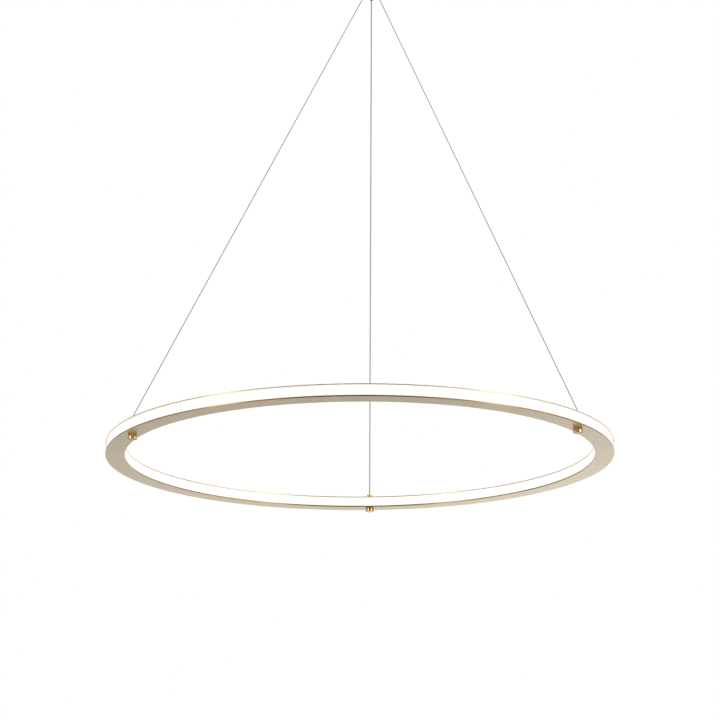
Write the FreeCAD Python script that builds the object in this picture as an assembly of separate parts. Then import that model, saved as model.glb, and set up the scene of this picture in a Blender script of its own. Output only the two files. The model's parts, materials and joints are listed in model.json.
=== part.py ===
import FreeCAD, Part
import os, math
from FreeCAD import Vector as V

# Ring pendant light: a thin illuminated ring that hangs level on three taut
# lines, which meet at a swivel hub under a round ceiling canopy.
# Millimetres, +Z up. The origin is the centre of the canopy's ceiling face.

os.makedirs("parts", exist_ok=True)

# ---------------------------------------------------------------- dimensions
# the ring
RING_RO = 600.0          # outer radius of both plates
RING_RI = 554.5          # inner radius of both plates
RING_H = 28.0            # overall height over both plates
PLATE_T = 2.2            # thickness of the top plate
PLATE_LOW_T = 3.0        # thickness of the bottom plate
PLATE_BEVEL = 0.6        # bevel along each edge of a plate's show face
RING_CX = -34.0          # the ring's centre, beside the canopy's axis
RECESS = 2.2             # the diffusers sit this far inside the plates' edges
DIFF_T = 3.0             # wall of each diffuser
CORE_OUT = (578.6, 580.6)   # outer wall of the core profile
CORE_IN = (567.4, 569.4)    # inner wall of the core profile
WEB_Z = (12.0, 14.0)     # the core's web, above the underside
STRIP_Z = (8.5, 20.5)    # the two flexible light strips
STRIP_T = 0.6
CHIP = (3.0, 3.0, 0.9)   # light package: along, high, thick
CHIP_N = 60              # packages per strip, drawn coarser than the real ones
SCREW_N = 12             # countersunk screws in the top plate

# the three anchors of the suspension
ANCHOR_R = 574.0
ANCHOR_DEG = {"left": 207.2, "right": 327.2, "far": 87.2}
STUD_R = 3.0
STUD_LOW, STUD_HIGH = -4.5, 33.0
FERRULE_L = 3.0
KNOB_R, KNOB_H, KNOB_GAP = 10.75, 9.8, 0.3
DOME_R, DOME_H, DOME_SKIRT = 7.0, 11.0, 4.6

# the lines
WIRE_R = 0.9             # bare steel wire
CABLE_R = 1.60           # insulated line that also carries the current
LINE_BEND_UP = 5.0       # corner of the bend above the collar on the ring
LINE_BEND_R = 16.0

# the canopy and swivel hub
PIVOT_Z = -34.0          # centre of the swivel hub
DROP = 1250.0            # from the hub's centre to the ring's underside
PLATE_R, MOUNT_T = 82.0, 1.5
SLOT_SPACING, SLOT_W, SLOT_L = 100.0, 5.2, 14.0
ENTRY_R, ENTRY_Y = 8.0, -40.0
COVER_R, COVER_T, COVER_TOP, COVER_LOW = 90.0, 1.5, -1.0, -34.5
COVER_HOLE_R = 31.0
SCREW_Z = -12.0
BALL_R, BALL_IN = 28.0, 24.0
BALL_TOP = 8.0           # where the hub's shell is cut open, above its centre
SEAT = 27.2              # flat seat of each gripper, from the hub's centre
MOUTH = 46.0             # where a line leaves its gripper

ZB = PIVOT_Z - DROP      # height of the ring's underside
ZT = ZB + RING_H         # height of the ring's top face
ZC = ZT + DOME_H         # top of the collars on the ring
PIVOT = V(0, 0, PIVOT_Z)
UP = V(0, 0, 1)


# ---------------------------------------------------------------- helpers
def out(name, shape):
    shape.exportStep("parts/%s.step" % name)
    solids = shape.Solids
    print("%-26s solids %3d  volume %10.1f  valid %s" % (
        name, len(solids), sum(s.Volume for s in solids), shape.isValid()))


def group(shapes):
    return Part.makeCompound(shapes)


def cyl(r, a, b):
    """A cylinder of radius r from point a to point b."""
    d = b - a
    return Part.makeCylinder(r, d.Length, a, d)


def tube(ro, ri, a, b):
    d = b - a
    n = V(d).normalize()
    return cyl(ro, a, b).cut(cyl(ri, a - n, b + n))


def box(x0, x1, y0, y1, z0, z1):
    return Part.makeBox(x1 - x0, y1 - y0, z1 - z0, V(x0, y0, z0))


def revolve(points, centre):
    """A full turn of a closed (radius, height) outline about a vertical axis."""
    pts = [V(centre.x + r, centre.y, centre.z + z) for r, z in points]
    face = Part.Face(Part.makePolygon(pts + [pts[0]]))
    return face.revolve(centre, UP, 360)


def revolve_axis(points, origin, axis):
    """A full turn of a closed (radius, distance) outline about an axis."""
    pts = [V(r, 0, s) for r, s in points]
    solid = Part.Face(Part.makePolygon(pts + [pts[0]])).revolve(V(0, 0, 0), UP, 360)
    solid.Placement = FreeCAD.Placement(origin, FreeCAD.Rotation(UP, axis))
    return solid


def hexagon(across, a, b, bore):
    d = b - a
    pts = []
    for k in range(7):
        t = math.radians(60 * k)
        pts.append(V(across / math.sqrt(3) * math.cos(t), across / math.sqrt(3) * math.sin(t), 0))
    body = Part.Face(Part.makePolygon(pts)).extrude(V(0, 0, d.Length))
    body = body.cut(Part.makeCylinder(bore, d.Length + 2, V(0, 0, -1)))
    body.Placement = FreeCAD.Placement(a, FreeCAD.Rotation(UP, d))
    return body


def route(points, radii, r, name):
    """A tube of radius r along straight runs joined by tangent arcs."""
    edges = []
    at = points[0]
    length = 0.0
    for k in range(1, len(points) - 1):
        a, b, c = points[k - 1], points[k], points[k + 1]
        u = (b - a).normalize()
        w = (c - b).normalize()
        turn = math.acos(max(-1.0, min(1.0, u.dot(w))))
        rad = radii[k - 1]
        if rad is None:
            rad = 0.45 * min((b - a).Length, (c - b).Length) / math.tan(turn / 2)
        cut = rad * math.tan(turn / 2)
        p, q = b - u * cut, b + w * cut
        bis = (w - u).normalize()
        mid = b + bis * (rad / math.cos(turn / 2) - rad)
        edges.append(Part.LineSegment(at, p).toShape())
        edges.append(Part.Arc(p, mid, q).toShape())
        length += (p - at).Length + rad * turn
        print("    %s bend radius %.1f" % (name, rad))
        at = q
    edges.append(Part.LineSegment(at, points[-1]).toShape())
    length += (points[-1] - at).Length
    path = Part.Wire(edges)
    start = (points[1] - points[0]).normalize()
    ring = Part.Wire([Part.Circle(points[0], start, r).toShape()])
    solid = path.makePipeShell([ring], True, False)
    want = math.pi * r * r * length
    print("    %s length %.1f  volume %.1f of %.1f" % (name, length, solid.Volume, want))
    return solid


def around(deg, radius, z):
    t = math.radians(deg)
    return V(RING_CX + radius * math.cos(t), radius * math.sin(t), z)


RC = V(RING_CX, 0, ZB)
ANCHOR = {k: around(a, ANCHOR_R, ZC) for k, a in ANCHOR_DEG.items()}
CORNER = {k: p + V(0, 0, LINE_BEND_UP) for k, p in ANCHOR.items()}
ALONG = {k: (p - PIVOT).normalize() for k, p in CORNER.items()}
SIDES = ("left", "right", "far")


def on_line(side, s):
    return PIVOT + ALONG[side] * s


# ---------------------------------------------------------------- the ring
def plate_profile(z0, z1, bevel_low):
    b = PLATE_BEVEL
    if bevel_low:
        return [(RING_RI + b, z0), (RING_RO - b, z0), (RING_RO, z0 + b), (RING_RO, z1),
                (RING_RI, z1), (RING_RI, z0 + b)]
    return [(RING_RI, z0), (RING_RO, z0), (RING_RO, z1 - b), (RING_RO - b, z1),
            (RING_RI + b, z1), (RING_RI, z1 - b)]


bottom_plate = revolve(plate_profile(0, PLATE_LOW_T, True), RC)
top_plate = revolve(plate_profile(RING_H - PLATE_T, RING_H, False), RC)
for side in SIDES:
    a = ANCHOR_DEG[side]
    hole = cyl(STUD_R + 0.1, around(a, ANCHOR_R, ZB - 2), around(a, ANCHOR_R, ZT + 2))
    bottom_plate = bottom_plate.cut(hole)
    top_plate = top_plate.cut(hole)

SCREW_DEG = [15 + 360.0 / SCREW_N * k for k in range(SCREW_N)]
screws = []
for a in SCREW_DEG:
    p = around(a, ANCHOR_R, ZT)
    sink = revolve([(0, 0.01), (2.85, 0.01), (1.6, -1.24), (1.6, -4), (0, -4)], p)
    top_plate = top_plate.cut(sink)
    head = revolve([(0.9, -0.05), (2.75, -0.05), (1.45, -1.35), (1.45, -9.5), (0, -9.5), (0, -0.9), (0.9, -0.9)], p)
    screws.append(head)

z_lo, z_hi = PLATE_LOW_T, RING_H - PLATE_T
core = revolve([(CORE_IN[0], z_lo), (CORE_IN[1], z_lo), (CORE_IN[1], WEB_Z[0]), (CORE_OUT[0], WEB_Z[0]),
                (CORE_OUT[0], z_lo), (CORE_OUT[1], z_lo), (CORE_OUT[1], z_hi), (CORE_OUT[0], z_hi),
                (CORE_OUT[0], WEB_Z[1]), (CORE_IN[1], WEB_Z[1]), (CORE_IN[1], z_hi), (CORE_IN[0], z_hi)], RC)
for a in SCREW_DEG:
    core = core.fuse(cyl(3.2, around(a, ANCHOR_R, ZB + WEB_Z[1]), around(a, ANCHOR_R, ZB + z_hi)))
for a in SCREW_DEG:
    core = core.cut(cyl(1.5, around(a, ANCHOR_R, ZB + WEB_Z[0] + 3), around(a, ANCHOR_R, ZB + z_hi + 1)))
for side in SIDES:
    a = ANCHOR_DEG[side]
    core = core.cut(cyl(STUD_R + 0.1, around(a, ANCHOR_R, ZB + 5), around(a, ANCHOR_R, ZB + 20)))
LEAD_Z = 18.0
FAR = ANCHOR_DEG["far"]
for r0, r1 in ((CORE_OUT[0] - 1, CORE_OUT[1] + 1), (CORE_IN[0] - 1, CORE_IN[1] + 1)):
    core = core.cut(cyl(0.9, around(FAR, r0, ZB + LEAD_Z), around(FAR, r1, ZB + LEAD_Z)))

outer_diffuser = revolve([(RING_RO - RECESS - DIFF_T, z_lo), (RING_RO - RECESS, z_lo),
                          (RING_RO - RECESS, z_hi), (RING_RO - RECESS - DIFF_T, z_hi)], RC)
inner_diffuser = revolve([(RING_RI + RECESS, z_lo), (RING_RI + RECESS + DIFF_T, z_lo),
                          (RING_RI + RECESS + DIFF_T, z_hi), (RING_RI + RECESS, z_hi)], RC)
outer_strip = revolve([(CORE_OUT[1], STRIP_Z[0]), (CORE_OUT[1] + STRIP_T, STRIP_Z[0]),
                       (CORE_OUT[1] + STRIP_T, STRIP_Z[1]), (CORE_OUT[1], STRIP_Z[1])], RC)
inner_strip = revolve([(CORE_IN[0] - STRIP_T, STRIP_Z[0]), (CORE_IN[0], STRIP_Z[0]),
                       (CORE_IN[0], STRIP_Z[1]), (CORE_IN[0] - STRIP_T, STRIP_Z[1])], RC)


def chips(r0, r1):
    found = []
    mid = (STRIP_Z[0] + STRIP_Z[1]) / 2
    for k in range(CHIP_N):
        a = 360.0 / CHIP_N * (k + 0.5)
        b = box(r0, r1, -CHIP[0] / 2, CHIP[0] / 2, ZB + mid - CHIP[1] / 2, ZB + mid + CHIP[1] / 2)
        b.rotate(V(0, 0, 0), UP, a)
        b.translate(V(RING_CX, 0, 0))
        found.append(b)
    return group(found)


outer_chips = chips(CORE_OUT[1] + STRIP_T + 0.01, CORE_OUT[1] + STRIP_T + CHIP[2])
inner_chips = chips(CORE_IN[0] - STRIP_T - CHIP[2], CORE_IN[0] - STRIP_T - 0.01)

# each anchor: a hollow stud through the ring, a round collar on top, a knob below
studs, collars, knobs, ends = {}, [], {}, {}
for side in SIDES:
    a = ANCHOR_DEG[side]
    at = around(a, ANCHOR_R, ZB)
    line_r = CABLE_R if side == "far" else WIRE_R
    bore = line_r + 0.25
    stud = revolve([(bore, STUD_LOW), (STUD_R, STUD_LOW), (STUD_R, STUD_HIGH), (bore, STUD_HIGH)], at)
    if side == "far":
        window = box(-6, 6, -0.9, 0.9, LEAD_Z - 1.4, LEAD_Z + 1.4)
        window.rotate(V(0, 0, 0), UP, a)
        window.translate(at)
        stud = stud.cut(window)
    studs[side] = stud
    # collar: straight skirt under a rounded crown
    crown = [(DOME_R * math.cos(math.radians(t)), RING_H + DOME_SKIRT + (DOME_H - DOME_SKIRT) * math.sin(math.radians(t)))
             for t in (0, 15, 30, 45, 60)]
    hole = line_r + 0.15
    profile = [(STUD_R + 0.05, RING_H), (DOME_R, RING_H)] + crown + [
        (hole + 0.6, RING_H + DOME_H), (hole, RING_H + DOME_H - 0.4), (hole, STUD_HIGH + 0.3),
        (STUD_R + 0.05, STUD_HIGH + 0.3)]
    collars.append(revolve(profile, at))
    low = -KNOB_H
    b = 0.8
    arc = [(KNOB_R - b + b * math.sin(math.radians(t)), low + b - b * math.cos(math.radians(t)))
           for t in (0, 22.5, 45, 67.5, 90)]
    knob = revolve([(0, low)] + arc + [(KNOB_R, -KNOB_GAP - 0.4), (KNOB_R - 0.4, -KNOB_GAP), (STUD_R + 0.05, -KNOB_GAP),
                   (STUD_R + 0.05, STUD_LOW - 0.4), (4.2, STUD_LOW - 0.4), (4.2, low + 1.6), (0, low + 1.6)], at)
    knobs[side] = knob
    foot = ZB + (LEAD_Z if side == "far" else STUD_LOW - FERRULE_L)
    ends[side] = cyl(line_r, V(at.x, at.y, foot), V(at.x, at.y, ZC))

ferrules = [tube(2.0, WIRE_R + 0.02, around(ANCHOR_DEG[s], ANCHOR_R, ZB + STUD_LOW - FERRULE_L),
                 around(ANCHOR_DEG[s], ANCHOR_R, ZB + STUD_LOW)) for s in ("left", "right")]
leads = [cyl(0.6, around(FAR, ANCHOR_R + CABLE_R, ZB + LEAD_Z), around(FAR, CORE_OUT[1], ZB + LEAD_Z)),
         cyl(0.6, around(FAR, CORE_IN[0], ZB + LEAD_Z), around(FAR, ANCHOR_R - CABLE_R, ZB + LEAD_Z))]
ends["far"] = ends["far"].cut(box(ANCHOR["far"].x - 2, ANCHOR["far"].x + 2, ANCHOR["far"].y - 2,
                                  ANCHOR["far"].y + 2, ZB + LEAD_Z - 2, ZB + LEAD_Z + 0.8))

# ---------------------------------------------------------------- the lines
lines, tails = {}, {}
for side in SIDES:
    r = CABLE_R if side == "far" else WIRE_R
    lines[side] = route([on_line(side, MOUTH), CORNER[side], ANCHOR[side]], [LINE_BEND_R], r, "line_" + side)
    tails[side] = cyl(r, on_line(side, MOUTH), on_line(side, 20.0))

# ---------------------------------------------------------------- the hub
outer = Part.makeSphere(BALL_R, PIVOT)
inner = Part.makeSphere(BALL_IN, PIVOT)
hub = outer.cut(inner)
hub = hub.cut(box(-40, 40, -40, 40, PIVOT_Z + BALL_TOP, PIVOT_Z + 60))
lug = cyl(6.0, PIVOT + V(-7.5, 0, 0), PIVOT + V(7.5, 0, 0)).fuse(
    box(-3.5, 3.5, -4.5, 4.5, PIVOT_Z - 25.5, PIVOT_Z))
hub = hub.fuse(lug).removeSplitter()
hub = hub.cut(cyl(2.52, PIVOT + V(-9, 0, 0), PIVOT + V(9, 0, 0)))
for side in SIDES:
    hub = hub.cut(cyl(3.0 + 0.05, on_line(side, 18), on_line(side, 32)))
    hub = hub.cut(cyl(6.6, on_line(side, SEAT), on_line(side, 34)))

pin = revolve_axis([(0, -14.0), (4.0, -14.0), (4.0, -12.4), (2.5, -12.4), (2.5, 14.0), (0, 14.0)], PIVOT, V(1, 0, 0))
clip = tube(4.4, 2.52, PIVOT + V(12.4, 0, 0), PIVOT + V(13.4, 0, 0))

grippers, plungers = {}, {}
for side in ("left", "right"):
    w = WIRE_R
    grippers[side] = revolve_axis([
        (w + 0.15, 21.5), (3.0, 21.5), (3.0, SEAT), (6.5, SEAT), (6.5, SEAT + 1.6), (5.9, SEAT + 2.2),
        (5.0, SEAT + 2.2), (5.0, 40.4), (4.5, 41.0), (3.65, 41.0), (3.65, 33.0), (w + 0.15, 33.0)], PIVOT, ALONG[side])
    plungers[side] = revolve_axis([
        (w + 0.35, 36.2), (3.3, 36.2), (3.3, 43.2), (2.4, MOUTH), (w + 0.35, MOUTH)], PIVOT, ALONG[side])
c = CABLE_R
gland = revolve_axis([
    (c + 0.1, 21.5), (3.0, 21.5), (3.0, SEAT), (6.5, SEAT), (6.5, SEAT + 2.0), (4.0, SEAT + 2.0),
    (4.0, 38.0), (c + 0.1, 38.0)], PIVOT, ALONG["far"])
gland_nut = revolve_axis([
    (4.08, SEAT + 2.4), (5.6, SEAT + 2.4), (6.2, SEAT + 3.0), (6.2, 41.0), (4.6, 44.0), (3.4, 44.0),
    (3.4, 38.6), (4.08, 38.6)], PIVOT, ALONG["far"])
gland_seal = revolve_axis([
    (c + 0.05, 38.0), (3.0, 38.0), (3.0, 43.6), (2.2, MOUTH), (c + 0.05, MOUTH)], PIVOT, ALONG["far"])

# ---------------------------------------------------------------- the swivel
STEM_R = 5.0
fork = box(-12, 12, -8, 8, PIVOT_Z, -14.5).cut(box(-8, 8, -9, 9, PIVOT_Z - 1, -19.0))
for x0, x1 in ((-12, -8), (8, 12)):
    fork = fork.fuse(cyl(8.0, V(x0, 0, PIVOT_Z), V(x1, 0, PIVOT_Z)))
fork = fork.removeSplitter()
fork = fork.cut(cyl(2.55, V(-14, 0, PIVOT_Z), V(14, 0, PIVOT_Z)))
fork = fork.cut(cyl(STEM_R + 0.08, V(0, 0, -22), V(0, 0, -12)))
washer = tube(7.6, STEM_R + 0.08, V(0, 0, -20.0), V(0, 0, -19.0))

stem = tube(STEM_R, 3.2, V(0, 0, -26.0), V(0, 0, -2.5))
boss = tube(9.0, STEM_R + 0.05, V(0, 0, -9.5), V(0, 0, -MOUNT_T))
stem_nuts = group([hexagon(13.0, V(0, 0, -13.5), V(0, 0, -9.5), STEM_R + 0.05),
                   hexagon(13.0, V(0, 0, -24.3), V(0, 0, -20.3), STEM_R + 0.05)])

# ---------------------------------------------------------------- the canopy
mount_plate = cyl(PLATE_R, V(0, 0, -MOUNT_T), V(0, 0, 0))
for s in (-1, 1):
    x0, x1 = (80.0, 82.0) if s > 0 else (-82.0, -80.0)
    ear = box(x0, x1, -9, 9, -20.0, -MOUNT_T / 2)
    mount_plate = mount_plate.fuse(ear)
mount_plate = mount_plate.removeSplitter()
for s in (-1, 1):
    half = (SLOT_L - SLOT_W) / 2
    x = s * SLOT_SPACING / 2
    slot = box(x - half, x + half, -SLOT_W / 2, SLOT_W / 2, -3, 1)
    for e in (-half, half):
        slot = slot.fuse(cyl(SLOT_W / 2, V(x + e, 0, -3), V(x + e, 0, 1)))
    mount_plate = mount_plate.cut(slot.removeSplitter())
    mount_plate = mount_plate.cut(cyl(2.0, V(s * 79.0, 0, SCREW_Z), V(s * 83.0, 0, SCREW_Z)))
mount_plate = mount_plate.cut(cyl(ENTRY_R, V(0, ENTRY_Y, -3), V(0, ENTRY_Y, 1)))

DRV = (-50.0, 50.0, 36.0, 64.0, -21.5, -MOUNT_T)
driver = box(*DRV)
driver = driver.makeFillet(2.0, [e for e in driver.Edges if abs(e.BoundBox.ZLength) > 5])
tabs = []
for s in (-1, 1):
    x0, x1 = (50.0, 58.0) if s > 0 else (-58.0, -50.0)
    driver = driver.fuse(box(x0 - (1 if s > 0 else 0), x1 + (0 if s > 0 else 1), 44, 54, -3.5, -MOUNT_T))
driver = driver.removeSplitter()
driver_screws = []
for s in (-1, 1):
    x = s * 54.5
    driver = driver.cut(cyl(1.6, V(x, 49, -5), V(x, 49, 0)))
    mount_plate = mount_plate.cut(cyl(1.6, V(x, 49, -3), V(x, 49, 1)))
    driver_screws.append(revolve([(0, -5.6), (2.2, -5.6), (2.9, -4.9), (2.9, -3.5), (1.5, -3.5), (1.5, -0.3), (0, -0.3)],
                                 V(x, 49, 0)))

terminal = box(20, 50, -50, -34, -15.5, -MOUNT_T)
terminal_screws = []
for k in range(3):
    x = 25.0 + 10.0 * k
    terminal = terminal.cut(cyl(2.2, V(x, -42, -17), V(x, -42, -9)))
    terminal = terminal.cut(cyl(1.8, V(x, -51, -6), V(x, -46, -6)))
    terminal = terminal.cut(cyl(1.8, V(x, -38, -6), V(x, -33, -6)))
    terminal_screws.append(cyl(2.0, V(x, -42, -14.5), V(x, -42, -9.2)))
connector = box(-56, -40, 6, 18, -10.0, -MOUNT_T)
connector = connector.cut(cyl(1.5, V(-48, 17, -5.7), V(-48, 21, -5.7)))
in_leads = []
for k in range(2):
    x = 25.0 + 10.0 * k
    y = 40.0 + 12.0 * k
    z = -12.0 - 2.0 * k
    in_leads.append(route([V(x, -36.0, -6), V(x, -22.0, -6), V(56.0 + 4 * k, -6.0, -8 - 2 * k),
                           V(63.0 + 4 * k, 20.0, z), V(62.0, y, z), V(50.0, y, z)],
                          [6, 6, 8, 6], 1.1, "driver_input_%d" % k))
out_lead = route([V(-50.0, 40.0, -12.0), V(-60.0, 40.0, -12.0), V(-62.0, 26.0, -9.0), V(-48.0, 28.0, -5.7),
                  V(-48.0, 17.5, -5.7)], [4.0, 4.0, 3.0], 1.2, "driver_output")

cover = revolve([(COVER_HOLE_R, COVER_LOW), (COVER_R - 3.0, COVER_LOW), (COVER_R - 0.88, COVER_LOW + 0.88),
                 (COVER_R, COVER_LOW + 3.0), (COVER_R, COVER_TOP), (COVER_R - COVER_T, COVER_TOP),
                 (COVER_R - COVER_T, COVER_LOW + 3.0), (COVER_R - 2.2, COVER_LOW + 2.2),
                 (COVER_R - 3.0, COVER_LOW + COVER_T), (COVER_HOLE_R, COVER_LOW + COVER_T)], V(0, 0, 0))
for s in (-1, 1):
    x0, x1 = (86.0, 92.0) if s > 0 else (-92.0, -86.0)
    cut = box(x0, x1, -2.4, 2.4, SCREW_Z, 2.0).fuse(cyl(2.4, V(x0, 0, SCREW_Z), V(x1, 0, SCREW_Z)))
    cover = cover.cut(cut)

canopy_screws = {}
for side, s in (("left", -1), ("right", 1)):
    canopy_screws[side] = revolve_axis([
        (0, 76.0), (1.95, 76.0), (1.95, 90.5), (4.6, 90.5), (5.0, 90.9), (5.0, 96.0), (4.6, 96.4), (0, 96.4)],
        V(0, 0, SCREW_Z), V(s, 0, 0))

# ---------------------------------------------------------------- write
out("bottom_plate", bottom_plate)
out("top_plate", top_plate)
out("outer_diffuser", outer_diffuser)
out("inner_diffuser", inner_diffuser)
out("core_profile", core)
out("outer_light_strip", outer_strip)
out("inner_light_strip", inner_strip)
out("outer_light_chips", outer_chips)
out("inner_light_chips", inner_chips)
out("top_plate_screws", group(screws))
for side in SIDES:
    out("anchor_stud_" + side, studs[side])
    out("anchor_knob_" + side, knobs[side])
out("anchor_collars", group(collars))
out("wire_end_left", ends["left"])
out("wire_end_right", ends["right"])
out("cable_end", ends["far"])
out("wire_ferrules", group(ferrules))
out("strip_leads", group(leads))
out("suspension_wire_left", lines["left"])
out("suspension_wire_right", lines["right"])
out("power_cable", lines["far"])
out("wire_tail_left", tails["left"])
out("wire_tail_right", tails["right"])
out("cable_tail", tails["far"])
out("swivel_hub", hub)
out("tilt_pin", pin)
out("tilt_pin_clip", clip)
out("wire_gripper_left", grippers["left"])
out("wire_gripper_right", grippers["right"])
out("release_plunger_left", plungers["left"])
out("release_plunger_right", plungers["right"])
out("cable_gland", gland)
out("cable_gland_nut", gland_nut)
out("cable_gland_seal", gland_seal)
out("swivel_fork", fork)
out("swivel_washer", washer)
out("threaded_stem", stem)
out("stem_boss", boss)
out("stem_nuts", stem_nuts)
out("ceiling_plate", mount_plate)
out("canopy_cover", cover)
out("canopy_screw_left", canopy_screws["left"])
out("canopy_screw_right", canopy_screws["right"])
out("led_driver", driver)
out("driver_screws", group(driver_screws))
out("terminal_block", terminal)
out("terminal_screws", group(terminal_screws))
out("lamp_connector", connector)
out("driver_input_leads", group(in_leads))
out("driver_output_lead", out_lead)

for side in SIDES:
    m = on_line(side, MOUTH)
    print("LINE", side, "mouth", tuple(round(v, 3) for v in m), "corner", tuple(round(v, 3) for v in CORNER[side]),
          "end", tuple(round(v, 3) for v in ANCHOR[side]), "axis", tuple(round(v, 5) for v in ALONG[side]))
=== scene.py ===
import math, json
import bpy, bmesh
import numpy as np
from mathutils import Vector, Matrix

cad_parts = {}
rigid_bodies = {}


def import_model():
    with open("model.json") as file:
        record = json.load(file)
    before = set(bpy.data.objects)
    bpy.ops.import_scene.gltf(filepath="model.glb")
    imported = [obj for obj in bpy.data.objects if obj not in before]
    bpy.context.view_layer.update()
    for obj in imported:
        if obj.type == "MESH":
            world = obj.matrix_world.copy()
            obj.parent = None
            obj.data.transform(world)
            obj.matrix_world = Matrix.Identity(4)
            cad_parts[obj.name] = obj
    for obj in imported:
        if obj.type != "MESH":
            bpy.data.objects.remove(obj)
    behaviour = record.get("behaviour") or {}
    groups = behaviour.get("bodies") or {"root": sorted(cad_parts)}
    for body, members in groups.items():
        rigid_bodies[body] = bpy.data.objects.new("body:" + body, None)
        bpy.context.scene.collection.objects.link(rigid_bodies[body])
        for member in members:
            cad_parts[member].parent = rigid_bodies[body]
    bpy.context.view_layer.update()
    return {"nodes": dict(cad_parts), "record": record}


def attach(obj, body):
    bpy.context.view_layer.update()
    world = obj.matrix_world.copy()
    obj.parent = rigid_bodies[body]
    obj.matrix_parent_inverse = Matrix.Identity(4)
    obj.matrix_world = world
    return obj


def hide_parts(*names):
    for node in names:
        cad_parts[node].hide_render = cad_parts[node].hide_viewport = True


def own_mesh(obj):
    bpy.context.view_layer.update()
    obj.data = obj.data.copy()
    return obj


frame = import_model()
NODES = frame["nodes"]
scene = bpy.context.scene
scene.view_settings.view_transform = "Standard"
scene.view_settings.look = "None"

# ------------------------------------------------------------------ sizes, in metres
MM = 0.001
RING_RO, RING_RI, RING_H = 0.600, 0.5545, 0.028
PLATE_T, PLATE_LOW_T, BEVEL = 0.0022, 0.0030, 0.0006
RING_CX = -0.034
RECESS, DIFF_T = 0.0022, 0.0030
ANCHOR_R = 0.574
ANCHOR_DEG = {"left": 207.2, "right": 327.2, "far": 87.2}
PIVOT_Z = -0.034
ZB = PIVOT_Z - 1.250
ZT = ZB + RING_H
KNOB_R, KNOB_H, KNOB_GAP = 0.01075, 0.0098, 0.0003
DOME_R, DOME_H, DOME_SKIRT = 0.0070, 0.0110, 0.0046
ZC = ZT + DOME_H
PIVOT = Vector((0, 0, PIVOT_Z))
SIDES = ("left", "right", "far")


def around(deg, radius, z):
    t = math.radians(deg)
    return Vector((RING_CX + radius * math.cos(t), radius * math.sin(t), z))


# ------------------------------------------------------------------ camera
def aim(location, pitch, yaw, roll):
    f = Vector((math.sin(yaw) * math.cos(pitch), math.cos(yaw) * math.cos(pitch), math.sin(pitch)))
    r = Vector((math.cos(yaw), -math.sin(yaw), 0.0))
    u = r.cross(f)
    c, s = math.cos(roll), math.sin(roll)
    r, u = r * c + u * s, u * c - r * s
    m = Matrix((r, u, -f)).transposed().to_4x4()
    m.translation = location
    return m


cam_data = bpy.data.cameras.new("camera")
cam = bpy.data.objects.new("camera", cam_data)
scene.collection.objects.link(cam)
cam_data.sensor_fit = "HORIZONTAL"
cam_data.sensor_width = 36.0
cam_data.lens = 1900.0 / 720.0 * 36.0
cam_data.clip_start, cam_data.clip_end = 0.05, 100.0
cam.matrix_world = aim(Vector((-0.05166, -4.40739, ZB - 1.00280)), 0.27655, 0.00425, -0.00364)
scene.camera = cam


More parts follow.
